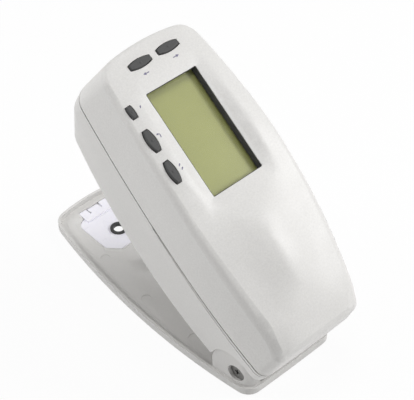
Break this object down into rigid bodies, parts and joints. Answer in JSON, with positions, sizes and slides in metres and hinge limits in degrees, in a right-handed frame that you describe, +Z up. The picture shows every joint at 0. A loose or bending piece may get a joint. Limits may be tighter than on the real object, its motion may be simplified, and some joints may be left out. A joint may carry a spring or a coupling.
{
  "type": "hand-held reflection densitometer",
  "caption": "Palm-shaped optical measuring instrument with a recessed display and rubber keys, sprung open on a hinged shoe with a target window.",
  "frame": {"origin": "middle of the face that the shoe's pads rest on", "axes": "+X to the user's right, +Y towards the measuring nose and the target window, +Z up from the table; stored with the instrument sprung open"},
  "size_m": [0.0776, 0.2079, 0.1685],
  "materials": {
    "shoe_moulding": "moulded, fine spark texture",
    "housing_moulding": "moulded, fine spark texture",
    "cover_moulding": "moulded, fine spark texture",
    "window_plastic": "milky, slightly translucent",
    "black_ring": "matt black",
    "pad_rubber": "soft matt",
    "screw_steel": "plated, slightly worn",
    "spring_steel": "oiled wire",
    "latch_plastic": "moulded",
    "bezel_black": "matt black",
    "window_clear": "clear pane",
    "lcd_green": "reflective liquid crystal glass, unlit",
    "inner_black": "moulded",
    "key_rubber": "silicone keypad rubber",
    "circuit_board": "solder resist",
    "chip_black": "moulded packages",
    "dome_steel": "pressed",
    "bush_nylon": "natural nylon",
    "optics_black": "black anodised",
    "lens_glass": "coated glass",
    "lamp_glass": "clear bulbs",
    "wheel_black": "black anodised",
    "filter_glass": "dyed and coated glass",
    "bridge_aluminium": "milled",
    "motor_can": "zinc plated",
    "cell_wrap": "shrink sleeve",
    "contact_nickel": "nickel plated",
    "jack_black": "moulded"
  },
  "bodies": {
    "shoe": {"shoe_base": "shoe_moulding", "target_window": "window_plastic", "target_ring": "black_ring", "shoe_pads": "pad_rubber", "open_stop": "pad_rubber", "hinge_screws": "screw_steel", "hinge_springs": "spring_steel"},
    "latch": {"shoe_latch": "latch_plastic"},
    "instrument": {"lower_housing": "housing_moulding", "top_cover": "cover_moulding", "display_bezel": "bezel_black", "display_window": "window_clear", "lcd_glass": "lcd_green", "lcd_frame": "inner_black", "key_board": "circuit_board", "key_domes": "dome_steel", "main_board": "circuit_board", "board_chips": "chip_black", "hinge_bushes": "bush_nylon", "optics_block": "optics_black", "lens_barrel": "inner_black", "objective_lens": "lens_glass", "lamps": "lamp_glass", "aperture_snout": "optics_black", "motor_bridge": "bridge_aluminium", "wheel_motor": "motor_can", "detector_board": "circuit_board", "photodiode": "dome_steel", "battery_cells": "cell_wrap", "battery_contacts": "contact_nickel", "battery_door": "housing_moulding", "door_screw": "screw_steel", "case_screws": "screw_steel", "charger_jack": "jack_black", "data_jack": "jack_black"},
    "filter_wheel_body": {"filter_wheel": "wheel_black", "wheel_filters": "filter_glass"},
    "key_left_body": {"key_left": "key_rubber"},
    "key_right_body": {"key_right": "key_rubber"},
    "key_short_body": {"key_short": "key_rubber"},
    "key_upper_body": {"key_upper": "key_rubber"},
    "key_lower_body": {"key_lower": "key_rubber"}
  },
  "joints": [
    {"name": "instrument_hinge", "type": "hinge", "parent": "shoe", "child": "instrument", "pos_m": [0, -0.0825, 0.0134], "axis": [-1, 0, 0], "range_deg": [0, 32.5], "stiffness_Nm_per_rad": 1.1, "springref_deg": -60.16, "deforming": ["hinge_springs"]},
    {"name": "latch_turn", "type": "hinge", "parent": "shoe", "child": "latch", "pos_m": [0, 0.016, 0], "axis": [0, 0, 1], "range_deg": [0, 90]},
    {"name": "filter_wheel_spin", "type": "hinge", "parent": "instrument", "child": "filter_wheel_body", "pos_m": [0, 0.01096, 0.10382], "axis": [0, -0.5402, 0.8415], "continuous": true},
    {"name": "key_left_press", "type": "slide", "parent": "instrument", "child": "key_left_body", "axis": [0, 0.5402, -0.8415], "range_m": [0, 0.0008], "stiffness_N_per_m": 900, "springref_m": -0.0006},
    {"name": "key_right_press", "type": "slide", "parent": "instrument", "child": "key_right_body", "axis": [0, 0.5402, -0.8415], "range_m": [0, 0.0008], "stiffness_N_per_m": 900, "springref_m": -0.0006},
    {"name": "key_short_press", "type": "slide", "parent": "instrument", "child": "key_short_body", "axis": [0, 0.5402, -0.8415], "range_m": [0, 0.0008], "stiffness_N_per_m": 900, "springref_m": -0.0006},
    {"name": "key_upper_press", "type": "slide", "parent": "instrument", "child": "key_upper_body", "axis": [0, 0.5402, -0.8415], "range_m": [0, 0.0008], "stiffness_N_per_m": 900, "springref_m": -0.0006},
    {"name": "key_lower_press", "type": "slide", "parent": "instrument", "child": "key_lower_body", "axis": [0, 0.5402, -0.8415], "range_m": [0, 0.0008], "stiffness_N_per_m": 900, "springref_m": -0.0006}
  ]
}
